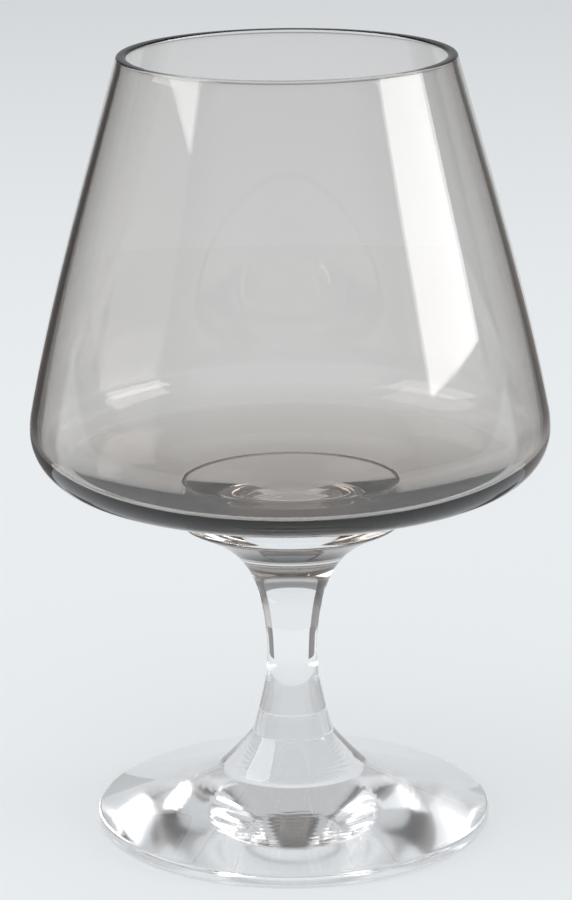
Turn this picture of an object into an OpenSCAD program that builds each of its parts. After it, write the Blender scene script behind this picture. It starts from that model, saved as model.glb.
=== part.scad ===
// Brandy snifter: a smoke-tinted blown bowl on a clear drawn stem and a clear spun foot.
// The three gathers of glass are fused hot, so each one ends on a face that its neighbour shares.
// Millimetres, +Z up, origin on the table at the centre of the foot. Every piece is a revolved profile.

/* [Bowl] */
// Outside diameter at the rim
rim_d = 49; // [43:0.2:56]
// Widest outside diameter, at the shoulder
widest_d = 76.4; // [68:0.2:86]
// Height from the lowest point of the underside to the rim
bowl_h = 67.2; // [58:0.2:78]
// Thickness of the wall
wall_t = 1.5; // [1:0.05:2.2]
// Thickness of the floor at its centre
floor_t = 4.3; // [3:0.1:6]
// Lean of the wall from upright, at the rim
rim_lean = 15.7; // [10:0.1:19]
// Lean of the wall from upright, where it leaves the shoulder
shoulder_lean = 11.1; // [8:0.1:15]
// Radius of the shoulder above the widest circle
shoulder_upper_r = 15; // [9:0.2:22]
// Radius of the shoulder below the widest circle
shoulder_lower_r = 7.8; // [6:0.1:10]
// Slope of the underside from level, where it leaves the shoulder
dish_slope = 21.3; // [16:0.1:26]

/* [Stem] */
// Length from the seam on the foot to the lowest point of the bowl
stem_l = 35.2; // [28:0.1:44]
// Diameter of the face that is fused to the bowl
contact_d = 31.8; // [26:0.2:36]
// Slope of that face from level, at its edge
contact_slope = 6; // [4:0.1:9]
// Outside diameter of the lip round that face
lip_d = 33; // [30:0.2:38]
// Thickness of the bead along the lower edge of the lip
bead_t = 0.9; // [0.6:0.05:1.2]
// Drop from the lowest point of the bowl to the underside of the bead
lip_drop = 2.4; // [1.8:0.1:3.4]
// Slope of the flare from level, where it leaves the bead
flare_slope = 26.5; // [16:0.5:30]
// Diameter at the waist
waist_d = 7.6; // [6:0.1:10]
// Height of the waist above the seam on the foot
waist_h = 10.8; // [7:0.1:13]

/* [Foot] */
// Outside diameter
foot_d = 59; // [54:0.5:66]
// Height from the table to the seam under the stem
foot_h = 13.6; // [12.6:0.1:15]
// Diameter of the seam under the stem
seam_d = 12; // [10.8:0.1:12.8]
// Diameter of the circle where the hub under the seam meets the disc
hub_d = 21.6; // [19.6:0.2:23]
// Height of the disc at that circle
disc_h = 8.2; // [7.4:0.1:9]
// Radius of the hollow round between hub and disc
hub_round_r = 2.5; // [1:0.1:4]
// Thickness at the outer edge
edge_t = 2; // [1.6:0.1:3]
// Rounding of the outer edge, above and below
edge_r = 0.7; // [0.4:0.05:0.75]
// Inside diameter of the flat ring that stands on the table
rest_d = 39; // [24:0.5:46]
// Height of the hollow under the foot, at its centre
kick_h = 0.15; // [0.1:0.05:0.6]

/* [Hidden] */

// Facets of each full turn, and steps along a long curve, a short curve and a rounded edge
$fn = 128;
long_steps = 40;
short_steps = 20;
edge_steps = 8;

// Colours of the smoke glass and of the clear glass
SMOKE = [0.45, 0.42, 0.42, 0.6];
CLEAR = [0.86, 0.9, 0.92, 0.5];

// Power of the radius with which the floor thins towards the shoulder
floor_power = 4;
// Angle of the bead's round where it runs into the lip's band
bead_start = 50;
// Slope of the ankle from level, at the seam
ankle_slope = 76;
// Degrees by which the hub is steeper at its top, and flatter at its foot, than a straight line
hub_bends = [12, 4];
// Degrees by which the disc is steeper at the hub, and flatter at its edge, than a straight line
disc_bend = 2;

// Handle lengths of the curves, as shares of the span that each one bridges
wall_handle_share = 0.34;
flare_handle_shares = [0.72, 0.72];
ankle_handle_shares = [0.25, 0.28];
band_handle_shares = [0.4, 0.3];
hub_handle_shares = [0.12, 0.27];
disc_handle_share = 0.34;

// Heights of the seam and of the bowl's lowest point
seam_z = foot_h;
pole_z = seam_z + stem_l;
rim_z = pole_z + bowl_h;

// A point at an angle on the unit circle, and the unit tangent there, turned clockwise
function dir(a) = [cos(a), sin(a)];
function clockwise(v) = [v[1], -v[0]];

// Unit direction outwards and down at a slope from level, and the slope of such a line
function fall(a) = [cos(a), -sin(a)];
function slope(v) = atan2(-v[1], v[0]);

// Point and outward normal at each step of an arc about c, from angle a0 to angle a1
function arc(c, r, a0, a1, steps) = [
    for (i = [0 : steps])
        let (a = a0 + (a1 - a0) * i / steps)
        [c + r * dir(a), dir(a)]
];

// Point on a cubic curve, and its direction there
function cubic_point(p, t) =
    p[0] * pow(1 - t, 3) + p[1] * 3 * t * pow(1 - t, 2) + p[2] * 3 * t * t * (1 - t) + p[3] * pow(t, 3);
function cubic_way(p, t) =
    (p[1] - p[0]) * pow(1 - t, 2) + (p[2] - p[1]) * 2 * t * (1 - t) + (p[3] - p[2]) * t * t;

// Point and outward normal at each step of a cubic curve that runs down the outside of a piece
function cubic(p, steps) = [
    for (i = [0 : steps])
        let (t = i / steps, way = cubic_way(p, t))
        [cubic_point(p, t), [-way[1], way[0]] / norm(way)]
];

// A curve without its first step, for joining to the one before it, and its points alone
function joined(curve) = [for (i = [1 : len(curve) - 1]) curve[i]];
function points(curve) = [for (s = curve) s[0]];
function reversed(list) = [for (i = [len(list) - 1 : -1 : 0]) list[i]];

// The face that bowl and stem share: a shallow round cap, from its edge down to the axis
contact_r = contact_d / 2;
cap_r = contact_r / sin(contact_slope);
cap_c = [0, pole_z + cap_r];
contact_cap = arc(cap_c, cap_r, contact_slope - 90, -90, short_steps);

// Outside of the bowl below the widest circle: the lower shoulder, then the dish down to the contact
dish_end = contact_slope - 90;
dish_start = dish_slope - 90;
shoulder_out = widest_d / 2 - shoulder_lower_r * (1 - cos(dish_start));
dish_r = (shoulder_out - contact_r) / (sin(dish_slope) - sin(contact_slope));
dish_c = cap_c + (cap_r - dish_r) * dir(dish_end);
shoulder_c = dish_c + (dish_r - shoulder_lower_r) * dir(dish_start);
widest_z = shoulder_c[1];
dish = arc(dish_c, dish_r, dish_start, dish_end, long_steps);
lower_shoulder = arc(shoulder_c, shoulder_lower_r, 0, dish_start, long_steps);

// Outside of the bowl above the widest circle: the wall, then the upper shoulder
upper_c = [widest_d / 2 - shoulder_upper_r, widest_z];
upper_shoulder = arc(upper_c, shoulder_upper_r, shoulder_lean, 0, short_steps);
rim_c = [rim_d / 2 - wall_t / 2, rim_z - wall_t / 2];
wall_top = rim_c + wall_t / 2 * dir(rim_lean);
wall_foot = upper_shoulder[0][0];
wall_handle = wall_handle_share * norm(wall_top - wall_foot);
wall = cubic([
    wall_top,
    wall_top + wall_handle * clockwise(dir(rim_lean)),
    wall_foot - wall_handle * clockwise(dir(shoulder_lean)),
    wall_foot
], long_steps);

// Glass is wall_t thick above the widest circle, and thickens towards the middle of the floor
function glass_t(r) = wall_t + (floor_t - wall_t) * (1 - pow(2 * r / widest_d, floor_power));
bowl_upper = concat(wall, joined(upper_shoulder));
bowl_lower = concat(joined(lower_shoulder), joined(dish), joined(contact_cap));
bowl_outside = points(concat(bowl_upper, bowl_lower));
bowl_inside = concat(
    [for (s = bowl_upper) s[0] - wall_t * s[1]],
    [for (s = bowl_lower) s[0] - glass_t(s[0][0]) * s[1]]
);
rim_round = points(arc(rim_c, wall_t / 2, rim_lean + 180, rim_lean, edge_steps));

// Outside of the stem: the band under the contact, the bead, the flare and the ankle
bead_r = bead_t / 2;
bead_c = [lip_d / 2 - bead_r, pole_z - lip_drop + bead_r];
flare_start = flare_slope - 90;
bead = arc(bead_c, bead_r, bead_start, flare_start, edge_steps);
band_top = contact_cap[0][0];
band_foot = bead[0][0];
band_l = norm(band_top - band_foot);
band = cubic([
    band_top,
    band_top - [0, band_handle_shares[0] * band_l],
    band_foot - band_handle_shares[1] * band_l * clockwise(dir(bead_start)),
    band_foot
], short_steps);
waist = [waist_d / 2, seam_z + waist_h];
flare_top = bead_c + bead_r * dir(flare_start);
flare = cubic([
    flare_top,
    flare_top + flare_handle_shares[0] * (flare_top[0] - waist[0]) * clockwise(dir(flare_start)),
    waist + [0, flare_handle_shares[1] * (flare_top[1] - waist[1])],
    waist
], long_steps);
seam = [seam_d / 2, seam_z];
ankle = cubic([
    waist,
    waist - [0, ankle_handle_shares[0] * waist_h],
    seam - ankle_handle_shares[1] * waist_h * fall(ankle_slope),
    seam
], short_steps);

// Top of the foot: the hub under the seam, the hollow round, and the disc that falls to the edge
edge_upper_c = [foot_d / 2 - edge_r, edge_t - edge_r];
edge_lower_c = [foot_d / 2 - edge_r, edge_r];
hub_corner = [hub_d / 2, disc_h];
hub_chord = slope(hub_corner - seam);
disc_chord = slope(edge_upper_c - hub_corner) - asin(edge_r / norm(edge_upper_c - hub_corner));
hub_top_slope = hub_chord + hub_bends[0];
hub_foot_slope = hub_chord - hub_bends[1];
disc_top_slope = disc_chord + disc_bend;
edge_slope = disc_chord - disc_bend;
round_cut = hub_round_r * tan((hub_foot_slope - disc_top_slope) / 2);
hub_foot = hub_corner - round_cut * fall(hub_foot_slope);
hub_l = norm(hub_foot - seam);
hub = cubic([
    seam,
    seam + hub_handle_shares[0] * hub_l * fall(hub_top_slope),
    hub_foot - hub_handle_shares[1] * hub_l * fall(hub_foot_slope),
    hub_foot
], short_steps);
round_c = hub_foot + hub_round_r * dir(90 - hub_foot_slope);
hub_round = arc(round_c, hub_round_r, -90 - hub_foot_slope, -90 - disc_top_slope, edge_steps);
disc_top = hub_corner + round_cut * fall(disc_top_slope);
disc_foot = edge_upper_c + edge_r * dir(90 - edge_slope);
disc_handle = disc_handle_share * norm(disc_foot - disc_top);
disc = cubic([
    disc_top,
    disc_top + disc_handle * fall(disc_top_slope),
    disc_foot - disc_handle * fall(edge_slope),
    disc_foot
], long_steps);

// Rounded edge of the foot, and the hollow underneath
edge = concat(
    arc(edge_upper_c, edge_r, 90 - edge_slope, 0, edge_steps),
    arc(edge_lower_c, edge_r, 0, -90, edge_steps)
);
kick_r = (pow(rest_d / 2, 2) + pow(kick_h, 2)) / (2 * kick_h);
kick_half = asin(rest_d / 2 / kick_r);
kick = points(arc([0, kick_h - kick_r], kick_r, 90 - kick_half, 90, short_steps));

module bowl() {
    color(SMOKE)
        rotate_extrude()
            polygon(concat(
                bowl_outside,
                reversed(bowl_inside),
                [for (i = [1 : edge_steps - 1]) rim_round[i]]
            ));
}

module stem() {
    color(CLEAR)
        rotate_extrude()
            polygon(concat(
                reversed(points(contact_cap)),
                points(concat(joined(band), joined(bead), joined(flare), joined(ankle))),
                [[0, seam_z]]
            ));
}

module foot() {
    color(CLEAR)
        rotate_extrude()
            polygon(concat(
                [[0, seam_z]],
                points(concat(hub, joined(hub_round), joined(disc), joined(edge))),
                kick
            ));
}

bowl();
stem();
foot();
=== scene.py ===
import math

import bpy
import numpy as np
from mathutils import Matrix, Vector


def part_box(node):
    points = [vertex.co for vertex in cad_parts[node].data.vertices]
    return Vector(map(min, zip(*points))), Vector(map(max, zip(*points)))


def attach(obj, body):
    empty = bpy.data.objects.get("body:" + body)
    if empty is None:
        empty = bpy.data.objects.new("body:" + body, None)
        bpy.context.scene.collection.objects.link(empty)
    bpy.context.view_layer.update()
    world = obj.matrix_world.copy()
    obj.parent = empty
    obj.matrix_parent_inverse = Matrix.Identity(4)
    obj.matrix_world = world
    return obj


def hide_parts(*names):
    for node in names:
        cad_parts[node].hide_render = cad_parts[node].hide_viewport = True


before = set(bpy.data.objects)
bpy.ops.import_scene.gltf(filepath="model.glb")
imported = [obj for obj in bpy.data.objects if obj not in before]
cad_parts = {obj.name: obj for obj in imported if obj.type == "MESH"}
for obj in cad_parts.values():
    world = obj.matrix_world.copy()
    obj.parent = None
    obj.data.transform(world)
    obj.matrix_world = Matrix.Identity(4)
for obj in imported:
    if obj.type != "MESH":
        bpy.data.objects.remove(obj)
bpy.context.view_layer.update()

# The bowl is one bubble of smoke-tinted glass, blown in a mould: a wide low shoulder, a wall that tapers to
# the mouth, and a floor that stays thick where the glass was gathered. The cut mouth is melted flat, which
# leaves a fine bead inside the rim.
bowl_low, bowl_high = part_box("bowl")
pole_z = bowl_low.z
rim_z = bowl_high.z
widest_r = bowl_high.y
rim_r = 0.0245
rim_t = 0.0015
rim_round_r = 0.0004
rim_drop = 0.00025
rim_lean = math.radians(15.7)
wall_t = 0.0011
wall_handle_share = 0.34
shoulder_lean = math.radians(11.1)
shoulder_upper_r = 0.015
shoulder_lower_r = 0.0078
dish_slope = math.radians(21.3)
contact_r = 0.0159
contact_slope = math.radians(6)
meniscus = 0.0004
floor_t = 0.0047
# The floor thins towards the shoulder in part like a cone, and in part with this power of the radius
cone_share = 0.5
floor_power = 4
# The wall swells to the rim with this power of the height, and its points gather there
rim_power = 250
rim_gather = 1.6
# Glass that is fused on the real thing overlaps by this much, so that light passes the joint without bending
fused = 0.00002
smoke_tint = (0.806, 0.777, 0.750)
smoke_density = 500.0


def spoke(angle):
    """Unit vectors in the profile's plane: the cosine of the angle outwards and its sine upwards."""
    return np.stack([np.cos(angle), np.sin(angle)], axis=-1)


def clockwise(way):
    """A direction in the profile's plane, turned a quarter turn clockwise."""
    return np.array([way[1], -way[0]])


def arc(centre, radius, start, end, count):
    """Points on a circle at equal angles from start to end, each with its outward normal."""
    ways = spoke(np.linspace(start, end, count))
    return np.hstack([centre + radius * ways, ways])


def curve(start, start_handle, end_handle, end, count, gather=1.0):
    """Points on the cubic Bezier curve of four points, each with the normal on the left of its direction. The
    parameter runs from 0 to 1 with a power, which gathers the points near the start where it is above 1."""
    t = np.linspace(0, 1, count)[:, None] ** gather
    p = [np.asarray(q, float) for q in (start, start_handle, end_handle, end)]
    points = p[0] * (1 - t) ** 3 + p[1] * 3 * t * (1 - t) ** 2 + p[2] * 3 * t * t * (1 - t) + p[3] * t ** 3
    way = (p[1] - p[0]) * (1 - t) ** 2 + (p[2] - p[1]) * 2 * t * (1 - t) + (p[3] - p[2]) * t * t
    normal = np.stack([-way[:, 1], way[:, 0]], axis=-1)
    return np.hstack([points, normal / np.linalg.norm(normal, axis=1, keepdims=True)])


def joined(*parts):
    """Curves that follow each other, as one: each after the first gives up the point that it shares."""
    return np.vstack([parts[0], *(part[1:] for part in parts[1:])])


def turned(name, profile, swell=None, turns=256):
    """A closed glass surface: the profile, from one point on the axis to another, carried round the axis.
    Point i at angle a is (r cos a, r sin a, z), moved along its normal by swell(i, a) where that is given."""
    angle = np.linspace(0, 2 * math.pi, turns, endpoint=False)
    ring = profile[1:-1, None, :]
    r, z, out, up = (np.repeat(ring[:, :, k], turns, axis=1) for k in range(4))
    if swell is not None:
        move = swell(profile[1:-1], angle)
        r, z = r + move * out, z + move * up
    rows = len(r)
    rings = np.stack([r * np.cos(angle), r * np.sin(angle), z], axis=-1).reshape(-1, 3)
    poles = np.array([[0, 0, profile[0, 1]], [0, 0, profile[-1, 1]]])
    here = np.arange(turns)
    after = (here + 1) % turns
    row = np.arange(rows - 1)[:, None] * turns
    next_row = row + turns
    quads = np.stack([row + here, next_row + here, next_row + after, row + after], axis=-1).reshape(-1, 4)
    first, last = rows * turns, rows * turns + 1
    end = (rows - 1) * turns
    fans = np.vstack([
        np.stack([np.full(turns, first), here, after], axis=-1),
        np.stack([end + here, np.full(turns, last), end + after], axis=-1),
    ])
    mesh = bpy.data.meshes.new(name)
    mesh.from_pydata(np.vstack([rings, poles]).tolist(), [], quads.tolist() + fans.tolist())
    mesh.shade_smooth()
    piece = bpy.data.objects.new(name, mesh)
    bpy.context.scene.collection.objects.link(piece)
    return piece


class Signal:
    """One socket of a node tree. Its sums, differences and products with others or numbers add Math nodes."""

    def __init__(self, tree, socket=None):
        self.tree = tree
        self.socket = socket

    def node(self, kind, settings, inputs, output=0):
        """A new node of one kind: its settings are set first, then each socket gets a value or a signal."""
        made = self.tree.nodes.new(kind)
        for name, value in settings.items():
            setattr(made, name, value)
        for name, value in inputs.items():
            if isinstance(value, Signal):
                self.tree.links.new(value.socket, made.inputs[name])
            else:
                made.inputs[name].default_value = value
        return Signal(self.tree, made.outputs[output]) if len(made.outputs) else None

    def math(self, operation, first, second=0.0):
        """A Math node of one operation on signals or numbers."""
        return self.node("ShaderNodeMath", {"operation": operation}, {0: first, 1: second})

    def along(self, axis):
        """One coordinate of a vector: X, Y or Z."""
        return self.node("ShaderNodeSeparateXYZ", {}, {0: self}, axis)

    def passage(self, start, end, low, high, way="LINEAR"):
        """From low to high while this signal goes from start to end, and level beyond them."""
        ends = {0: self, 1: start, 2: end, 3: low, 4: high}
        return self.node("ShaderNodeMapRange", {"interpolation_type": way}, ends)

    def __add__(self, other):
        return self.math("ADD", self, other)

    def __radd__(self, other):
        return self.math("ADD", other, self)

    def __sub__(self, other):
        return self.math("SUBTRACT", self, other)

    def __rsub__(self, other):
        return self.math("SUBTRACT", other, self)

    def __mul__(self, other):
        return self.math("MULTIPLY", self, other)

    def __rmul__(self, other):
        return self.math("MULTIPLY", other, self)


def new_tree(owner):
    """The emptied node tree of a material or world, as a signal without a socket."""
    owner.use_nodes = True
    owner.node_tree.nodes.clear()
    return Signal(owner.node_tree)


glass_ior = 1.54
smudge_scale = 90.0
smudge_detail = 3.0
smudge_start, smudge_full = 0.45, 0.75
smudge_roughness = 0.05
satin_full_z, satin_end_z = 0.0002, 0.0005
satin_roughness = 0.07
level_lift = 0.97


def glass(name, fused_low, fused_high, tint=None, density=0.0):
    """Polished glass with faint smudges and a satin underside, which takes up light where it is tinted. Level
    faces between the two fused heights lie inside fused glass, so they let light pass straight."""
    material = bpy.data.materials.new(name)
    tree = new_tree(material)
    place = tree.node("ShaderNodeTexCoord", {}, {}, "Object")
    spots = {"Vector": place, "Scale": smudge_scale, "Detail": smudge_detail}
    noise = tree.node("ShaderNodeTexNoise", {}, spots, "Fac")
    smudge = noise.passage(smudge_start, smudge_full, 0.0, smudge_roughness)
    height = place.along("Z")
    satin = height.passage(satin_full_z, satin_end_z, satin_roughness, 0.0)
    lift = tree.math("ABSOLUTE", tree.node("ShaderNodeNewGeometry", {}, {}, "True Normal").along("Z"))
    level = tree.math("GREATER_THAN", lift, level_lift)
    above = tree.math("GREATER_THAN", height, fused_low)
    below = tree.math("LESS_THAN", height, fused_high)
    surface = tree.node("ShaderNodeBsdfPrincipled", {}, {
        "Base Color": (1, 1, 1, 1),
        "Roughness": smudge + satin,
        "Alpha": 1.0 - level * above * below,
        "IOR": glass_ior,
        "Transmission Weight": 1.0,
    })
    outputs = {"Surface": surface}
    if tint:
        taken_up = {"Color": (*tint, 1), "Density": density}
        outputs["Volume"] = tree.node("ShaderNodeVolumeAbsorption", {}, taken_up)
    tree.node("ShaderNodeOutputMaterial", {}, outputs)
    return material


# Underside of the bowl: the cap that is fused to the stem, the dish round it and the lower shoulder
cap_r = contact_r / math.sin(contact_slope)
cap_c = np.array([0, pole_z + cap_r])
dish_start = dish_slope - math.pi / 2
dish_end = contact_slope - math.pi / 2
shoulder_out = widest_r - shoulder_lower_r * (1 - math.cos(dish_start))
dish_r = (shoulder_out - contact_r) / (math.sin(dish_slope) - math.sin(contact_slope))
dish_c = cap_c + (cap_r - dish_r) * spoke(dish_end)
shoulder_c = dish_c + (dish_r - shoulder_lower_r) * spoke(dish_start)
widest_z = shoulder_c[1]
underside = joined(
    arc(shoulder_c, shoulder_lower_r, 0, dish_start, count=40),
    arc(dish_c, dish_r, dish_start, dish_end, count=40),
    arc(cap_c, cap_r, dish_end, -math.pi / 2, count=20),
)
# Fused glass ends where the fillet round the stem's lip runs out on the dish
meniscus_end = dish_end + meniscus / dish_r
fused_edge_z = (dish_c + dish_r * spoke(meniscus_end))[1]

# Wall above the widest circle, up to the rim
upper_c = np.array([widest_r - shoulder_upper_r, widest_z])
upper_shoulder = arc(upper_c, shoulder_upper_r, shoulder_lean, 0, count=14)
rim_c = np.array([rim_r - rim_t / 2, rim_z - rim_t / 2])
wall_top = rim_c + rim_t / 2 * spoke(rim_lean)
wall_foot = upper_shoulder[0, :2]
wall_handle = wall_handle_share * np.linalg.norm(wall_top - wall_foot)
wall = curve(
    wall_top,
    wall_top + wall_handle * clockwise(spoke(rim_lean)),
    wall_foot - wall_handle * clockwise(spoke(shoulder_lean)),
    wall_foot,
    count=56,
    gather=rim_gather,
)
outside = joined(wall, upper_shoulder, underside)

# Rim: melted flat on top, with a small round inside and outside
rim_up = -clockwise(spoke(rim_lean))
rim_half = (rim_t / 2 - rim_round_r) * spoke(rim_lean)
crown_z = rim_z - rim_drop - rim_round_r
outer_c = rim_c + rim_half + rim_up * (crown_z - rim_c[1] - rim_half[1]) / rim_up[1]
inner_c = rim_c - rim_half + rim_up * (crown_z - rim_c[1] + rim_half[1]) / rim_up[1]
rim = np.vstack([
    arc(inner_c, rim_round_r, rim_lean + math.pi, math.pi / 2, count=9),
    arc(outer_c, rim_round_r, math.pi / 2, rim_lean, count=9),
])

# The inside lies one thickness in from the outside. The glass is even in the wall, thickens from the widest
# circle to the middle of the floor, and swells to a bead at the rim
below_widest = np.arange(len(outside)) >= len(outside) - len(underside)
reach = outside[:, 0] / widest_r
swelling = cone_share * (1 - reach) + (1 - cone_share) * (1 - reach ** floor_power)
rise = (outside[:, 1] - widest_z) / (rim_z - widest_z)
floor_thick = wall_t + (floor_t - wall_t) * swelling
wall_thick = wall_t + (rim_t - wall_t) * rise ** rim_power
thick = np.where(below_widest, floor_thick, wall_thick)
inside = np.hstack([outside[:, :2] - thick[:, None] * outside[:, 2:], -outside[:, 2:]])[::-1]

bowl = turned("snifter_bowl", joined(inside, rim, outside))
bowl.data.materials.append(glass("smoke glass", 0.0, fused_edge_z, smoke_tint, smoke_density))
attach(bowl, "root")
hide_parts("bowl")

# The stem is drawn from a gather of clear glass on the bowl: a lip that spreads under the bowl, a bead along
# its lower edge, a flare, a narrow waist and an ankle that widens to the seam on the foot.
seam_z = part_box("stem")[0].z
lip_r = 0.0165
lip_drop = 0.0024
lip_shares = [0.5, 0.3]
bead_r = 0.00045
bead_start = math.radians(50)
flare_slope = math.radians(26.5)
flare_shares = [0.72, 0.72]
waist_r = 0.0038
waist_h = 0.0108
ankle_slope = math.radians(76)
ankle_shares = [0.25, 0.28]
seam_r = 0.006
# Level faces of the clear glass are fused from here up; below lies the foot's underside
clear_fused_low, clear_fused_high = 0.001, 1.0

bead_c = np.array([lip_r - bead_r, pole_z - lip_drop + bead_r])
flare_start = flare_slope - math.pi / 2
bead = arc(bead_c, bead_r, bead_start, flare_start, count=14)
contact = joined(
    arc(cap_c, cap_r - fused, -math.pi / 2, dish_end, count=20),
    arc(dish_c, dish_r - fused, dish_end, meniscus_end, count=6),
)
contact[:, 2:] = -contact[:, 2:]
lip_top = contact[-1, :2]
lip_foot = bead[0, :2]
lip_l = np.linalg.norm(lip_top - lip_foot)
lip = curve(
    lip_top,
    lip_top + lip_shares[0] * lip_l * clockwise(spoke(meniscus_end)),
    lip_foot - lip_shares[1] * lip_l * clockwise(spoke(bead_start)),
    lip_foot,
    count=20,
)
waist = np.array([waist_r, seam_z + waist_h])
flare_top = bead[-1, :2]
flare = curve(
    flare_top,
    flare_top + flare_shares[0] * (flare_top[0] - waist_r) * clockwise(spoke(flare_start)),
    waist + [0, flare_shares[1] * (flare_top[1] - waist[1])],
    waist,
    count=70,
)
seam = np.array([seam_r, seam_z])


def fall(slope):
    """Unit direction in the profile's plane, outwards and down at a slope from level."""
    return np.array([math.cos(slope), -math.sin(slope)])


ankle = curve(
    waist,
    waist - [0, ankle_shares[0] * waist_h],
    seam - ankle_shares[1] * waist_h * fall(ankle_slope),
    seam,
    count=30,
)
seam_face = np.array([[seam_r, seam_z, 0, -1], [seam_r / 2, seam_z, 0, -1], [0, seam_z, 0, -1]])
stem = turned("snifter_stem", joined(contact, lip, bead, flare, ankle, seam_face))
clear_glass = glass("clear glass", clear_fused_low, clear_fused_high)
stem.data.materials.append(clear_glass)
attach(stem, "root")
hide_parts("stem")

# The foot is a gather of clear glass, spun out and joined hot to the stem: a hub under the seam, a conical
# disc with a rounded edge, a flat ring to stand on and a shallow hollow in the middle of its underside.
foot_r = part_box("foot")[1].x
hub_r = 0.0108
hub_round_r = 0.0025
hub_bends = [math.radians(12), math.radians(4)]
hub_shares = [0.12, 0.27]
disc_h = 0.0082
disc_bend = math.radians(2.0)
disc_share = 0.34
edge_t = 0.002
edge_r = 0.0007
rest_r = 0.0195
hollow_h = 0.00015

edge_upper_c = np.array([foot_r - edge_r, edge_t - edge_r])
edge_lower_c = np.array([foot_r - edge_r, edge_r])
foot_seam = seam + [0, fused]
corner = np.array([hub_r, disc_h])
hub_chord = math.atan2(foot_seam[1] - disc_h, hub_r - seam_r)
span = edge_upper_c - corner
disc_chord = math.atan2(-span[1], span[0]) - math.asin(edge_r / np.linalg.norm(span))
hub_top_slope = hub_chord + hub_bends[0]
hub_foot_slope = hub_chord - hub_bends[1]
disc_top_slope = disc_chord + disc_bend
edge_slope = disc_chord - disc_bend
cut = hub_round_r * math.tan((hub_foot_slope - disc_top_slope) / 2)
hub_foot = corner - cut * fall(hub_foot_slope)
hub_l = np.linalg.norm(hub_foot - foot_seam)
hub = curve(
    foot_seam,
    foot_seam + hub_shares[0] * hub_l * fall(hub_top_slope),
    hub_foot - hub_shares[1] * hub_l * fall(hub_foot_slope),
    hub_foot,
    count=40,
)
round_c = hub_foot + hub_round_r * spoke(math.pi / 2 - hub_foot_slope)
hub_round = arc(round_c, hub_round_r, -math.pi / 2 - hub_foot_slope, -math.pi / 2 - disc_top_slope, count=20)
hub_round[:, 2:] = -hub_round[:, 2:]
disc_top = corner + cut * fall(disc_top_slope)
disc_foot = edge_upper_c + edge_r * spoke(math.pi / 2 - edge_slope)
disc_handle = disc_share * np.linalg.norm(disc_foot - disc_top)
disc = curve(
    disc_top,
    disc_top + disc_handle * fall(disc_top_slope),
    disc_foot - disc_handle * fall(edge_slope),
    disc_foot,
    count=40,
)

chill_inner_r, chill_outer_r, chill_fade = 0.0075, 0.0190, 0.0015
chill_pitch = 0.0011
chill_depth = 0.0000032
chill_mean, chill_swing = 0.65, 0.35
underside_facing = -0.9
# Each wander is a size in radians, a count of waves round the circle, a start in radians and a turn per metre
chill_wanders = [(0.9, 3, 0.6, 0), (0.7, 7, 1.9, 300), (0.6, 17, 0.0, -500)]
chill_fading = (5, 2.0, 700)


def chill_marks(rows, angle):
    """Fine rings left by the cold plate on the hot underside: waves across the radius, whose phase is a sum
    of slow waves round the circle and whose depth is one more. They fill a band and fade at its edges."""
    r = rows[:, :1]
    band = np.clip((r - chill_inner_r) / chill_fade, 0, 1) * np.clip((chill_outer_r - r) / chill_fade, 0, 1)
    band = band * (rows[:, 3:] < underside_facing)
    phase = sum(
        size * np.sin(waves * angle + start + twist * r) for size, waves, start, twist in chill_wanders
    )
    waves, start, twist = chill_fading
    depth = chill_depth * (chill_mean + chill_swing * np.sin(waves * angle + start + twist * r))
    return band * depth * np.sin(2 * math.pi * r / chill_pitch + phase)


seam_top = np.array([[0, foot_seam[1], 0, 1], [seam_r / 2, foot_seam[1], 0, 1], [*foot_seam, 0, 1]])
hollow_r = (rest_r ** 2 + hollow_h ** 2) / (2 * hollow_h)
hollow_c = np.array([0, hollow_h - hollow_r])
hollow = arc(hollow_c, hollow_r, math.pi / 2 - math.asin(rest_r / hollow_r), math.pi / 2, count=210)
hollow[:, 2:] = -hollow[:, 2:]
foot = turned("snifter_foot", joined(
    seam_top,
    hub,
    hub_round,
    disc,
    arc(edge_upper_c, edge_r, math.pi / 2 - edge_slope, 0, count=12),
    arc(edge_lower_c, edge_r, 0, -math.pi / 2, count=14),
    np.vstack([[foot_r - edge_r, 0, 0, -1], hollow]),
), swell=chill_marks)
foot.data.materials.append(clear_glass)
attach(foot, "root")
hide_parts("foot")

# The table is a sheet of plain pale paper that runs far behind the glass, with a hair of air under the foot.
# To the camera and in the glass it partly shines by itself, which keeps it pale. The rest takes the shadow.
table_gap = 0.0001
table_half = 4.0
paper_grey = (0.70, 0.73, 0.75, 1)
pale_blue = (0.96, 0.995, 1.02, 1)
paper_glow = 0.6
# The glow is painted light, a little dimmer near the camera; far behind the glass it fades as painted shade.
near_y, near_end_y, near_level, middle_level = 0.1, 0.35, 0.945, 0.98
far_y, far_end_y, far_level = 0.25, 1.6, 0.74


def staged(name, corners):
    """One flat sheet between four corners, for the stage round the glass."""
    mesh = bpy.data.meshes.new(name)
    mesh.from_pydata(corners, [], [(0, 1, 2, 3)])
    sheet = bpy.data.objects.new(name, mesh)
    bpy.context.scene.collection.objects.link(sheet)
    return sheet


def dimmed(tree, colour, level):
    """A colour times a level from 0 to 1, as the mix of black and that colour."""
    return tree.node("ShaderNodeMix", {"data_type": "RGBA"}, {0: level, 6: (0, 0, 0, 1), 7: colour}, 2)


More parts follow.
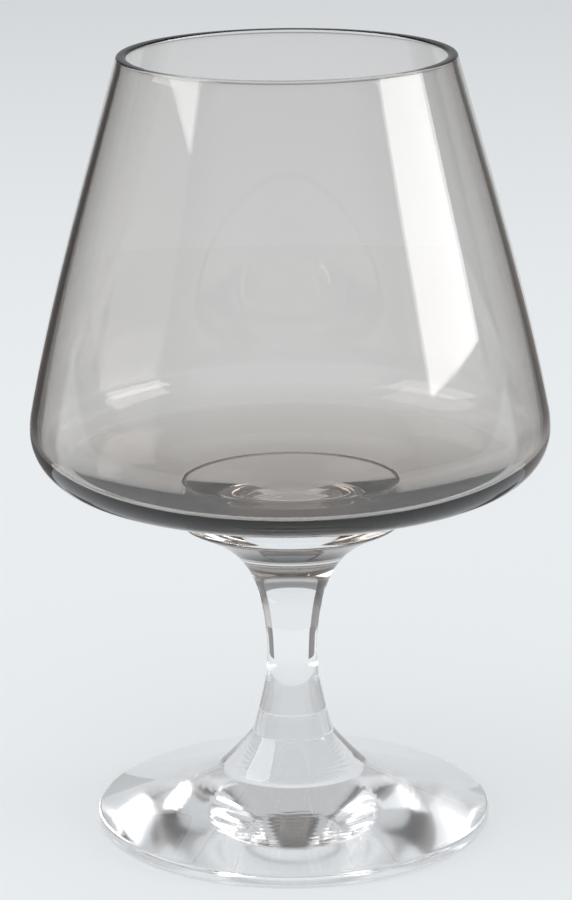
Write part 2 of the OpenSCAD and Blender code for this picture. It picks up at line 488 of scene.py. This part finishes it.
table = staged("table", [
    (x * table_half, y * table_half, -table_gap) for x, y in ((-1, -1), (1, -1), (1, 1), (-1, 1))
])
paper = bpy.data.materials.new("pale paper")
tree = new_tree(paper)
by_camera = tree.node("ShaderNodeLightPath", {}, {}, "Is Camera Ray")
in_reflection = tree.node("ShaderNodeLightPath", {}, {}, "Is Glossy Ray")
through_glass = tree.node("ShaderNodeLightPath", {}, {}, "Is Transmission Ray")
seen = tree.math("MAXIMUM", tree.math("MAXIMUM", by_camera, in_reflection), through_glass)
back = tree.node("ShaderNodeTexCoord", {}, {}, "Object").along("Y")
near = back.passage(near_y, near_end_y, near_level, middle_level)
far = back.passage(far_y, far_end_y, 1.0, far_level)
glow = tree.node("ShaderNodeEmission", {}, {"Color": dimmed(tree, pale_blue, near * far), "Strength": 1.0})
matt = tree.node("ShaderNodeBsdfDiffuse", {}, {"Color": paper_grey})
mixed = tree.node("ShaderNodeMixShader", {}, {0: seen * paper_glow, 1: matt, 2: glow})
tree.node("ShaderNodeOutputMaterial", {}, {"Surface": mixed})
table.data.materials.append(paper)

# Two softboxes stand at the sides, the right one brighter. A wide dim lamp on the left shows through the
# glass but not in its reflections, and one overhead lights the table without showing in the glass.
bowl_middle = Vector((0, 0, 0.08))


def heading(azimuth, elevation):
    """Unit direction from the glass at two angles in degrees. Azimuth 0 is to the camera, 90 to the right."""
    a, e = math.radians(azimuth), math.radians(elevation)
    return Vector((math.sin(a) * math.cos(e), -math.cos(a) * math.cos(e), math.sin(e)))


def softbox(name, azimuth, elevation, distance, width, height, radiance, roll=0.0, yaw=0.0, pitch=0.0):
    """A rectangular lamp at a direction and distance from the bowl, facing it or turned by yaw and pitch."""
    lamp = bpy.data.lights.new(name, "AREA")
    lamp.shape = "RECTANGLE"
    lamp.size = width
    lamp.size_y = height
    lamp.energy = radiance * math.pi * width * height
    box = bpy.data.objects.new(name, lamp)
    bpy.context.scene.collection.objects.link(box)
    facing = heading(azimuth + yaw, elevation + pitch).to_track_quat("Z", "Y").to_matrix().to_4x4()
    place = Matrix.Translation(heading(azimuth, elevation) * distance + bowl_middle)
    box.matrix_world = place @ facing @ Matrix.Rotation(math.radians(roll), 4, "Z")
    box.visible_camera = False
    return box


softbox(
    "right softbox", azimuth=82.0, elevation=15.5, distance=0.72, width=0.457, height=0.29, radiance=4.6,
    roll=-5.4, yaw=8.6, pitch=12.2,
)
softbox(
    "left softbox", azimuth=-86.9, elevation=36.7, distance=0.7, width=0.5, height=0.5, radiance=3.0,
    roll=0.5, yaw=30.7, pitch=-30.7,
)
side = softbox("left lamp", azimuth=-88, elevation=12, distance=0.75, width=0.72, height=0.26, radiance=0.65)
side.visible_glossy = False
fill = softbox("fill light", azimuth=0, elevation=78, distance=1.0, width=1.2, height=1.2, radiance=1.3)
fill.visible_glossy = False
fill.visible_transmission = False

# Dark cards at both sides give the glass its dark edges, and low ones do so near the table. A low pale card
# behind lightens the foot. All of them show in the glass alone.
# Each card shines by itself at set levels: painted shade from the dark ones, painted light from the pale one.
warm_black = (1.0, 0.95, 0.94, 1)
card_low_z, card_high_z = 0.02, 0.05


def card(name, inner, outer, height, low_level, inner_level, outer_level, colour=warm_black):
    """A card that stands on the table from one point to another. It glows at a painted level of light and
    shade, which goes from the inner edge to the outer edge and passes to another level near the table."""
    sheet = staged(name, [(*inner, 0), (*outer, 0), (*outer, height), (*inner, height)])
    material = bpy.data.materials.new(name)
    tree = new_tree(material)
    place = tree.node("ShaderNodeTexCoord", {}, {}, "Object")
    level = place.along("X").passage(inner[0], outer[0], inner_level, outer_level)
    upper = place.along("Z").passage(card_low_z, card_high_z, 0.0, 1.0, "SMOOTHSTEP")
    shade = dimmed(tree, colour, low_level + (level - low_level) * upper)
    tree.node("ShaderNodeOutputMaterial", {}, {
        "Surface": tree.node("ShaderNodeEmission", {}, {"Color": shade, "Strength": 1.0}),
    })
    sheet.data.materials.append(material)
    sheet.visible_camera = False
    sheet.visible_diffuse = False
    sheet.visible_shadow = False


card(
    "left_flag", (-0.060, 0.095), (-0.17, 0.07), height=0.3,
    low_level=0.25, inner_level=0.08, outer_level=0.10,
)
card(
    "right_flag", (0.062, 0.085), (0.18, 0.05), height=0.3,
    low_level=0.55, inner_level=0.16, outer_level=0.08,
)
card(
    "back_card", (-0.20, 0.13), (0.20, 0.13), height=0.060,
    low_level=0.815, inner_level=0.785, outer_level=0.785, colour=pale_blue,
)
card(
    "left_low_flag", (-0.034, 0.060), (-0.060, 0.050), height=0.016,
    low_level=0.20, inner_level=0.20, outer_level=0.20,
)
card(
    "right_low_flag", (0.040, 0.056), (0.066, 0.046), height=0.016,
    low_level=0.20, inner_level=0.20, outer_level=0.20,
)

# The room is dim. It is paler behind the camera, and behind the glass both low down and high up, and it
# darkens towards the ceiling. Each part is a passage in a direction's height or in its turn to the back.
room_colour = (0.98, 1.0, 1.02, 1)
room_level, back_level, low_back_level, high_back_level, front_level = 0.25, 0.01, 0.12, 0.28, 0.30
ceiling_share = 0.35
flattest = 0.05
world = bpy.data.worlds.new("room")
bpy.context.scene.world = world
tree = new_tree(world)
way = tree.node("ShaderNodeTexCoord", {}, {}, "Generated")
height = way.along("Z")
level_length = tree.math("MAXIMUM", tree.math("POWER", 1.0 - height * height, 0.5), flattest)
backward = tree.math("DIVIDE", way.along("Y"), level_length)
behind = backward.passage(0.70, 0.88, 0.0, 1.0, "SMOOTHSTEP")
in_front = backward.passage(-0.85, -0.5, 1.0, 0.0, "SMOOTHSTEP")
low_down = height.passage(0.10, 0.25, 1.0, 0.0, "SMOOTHSTEP")
high_up = height.passage(0.30, 0.44, 0.0, 1.0, "SMOOTHSTEP")
ceiling = height.passage(0.80, 0.96, 1.0, ceiling_share, "SMOOTHSTEP")
behind_level = behind * (back_level + low_back_level * low_down + high_back_level * high_up)
level = (room_level + behind_level + front_level * in_front) * ceiling
sky = tree.node("ShaderNodeBackground", {}, {"Color": dimmed(tree, room_colour, level), "Strength": 1.0})
tree.node("ShaderNodeOutputWorld", {}, {"Surface": sky})

# The camera stands where the photographer's did. Light may pass many faces of glass before it is given up.
view_pitch = math.radians(15.60)
view_roll = math.radians(0.556)
view_place = Vector((-0.00065, -0.488, 0.1933))
focal_px = 3443.0
frame_h_px = 900
sensor_mm = 36
clip_near, clip_far = 0.01, 50
glass_bounces = 32
lens = bpy.data.cameras.new("camera")
lens.sensor_width = sensor_mm
lens.lens = focal_px / frame_h_px * sensor_mm
lens.clip_start = clip_near
lens.clip_end = clip_far
camera = bpy.data.objects.new("camera", lens)
bpy.context.scene.collection.objects.link(camera)
tilt = Matrix.Rotation(math.pi / 2 - view_pitch, 4, "X") @ Matrix.Rotation(-view_roll, 4, "Z")
camera.matrix_world = Matrix.Translation(view_place) @ tilt
bpy.context.scene.camera = camera
bpy.context.scene.view_settings.view_transform = "Standard"
bpy.context.scene.cycles.max_bounces = glass_bounces
bpy.context.scene.cycles.transmission_bounces = glass_bounces
bpy.context.scene.cycles.glossy_bounces = glass_bounces
bpy.context.scene.cycles.transparent_max_bounces = glass_bounces
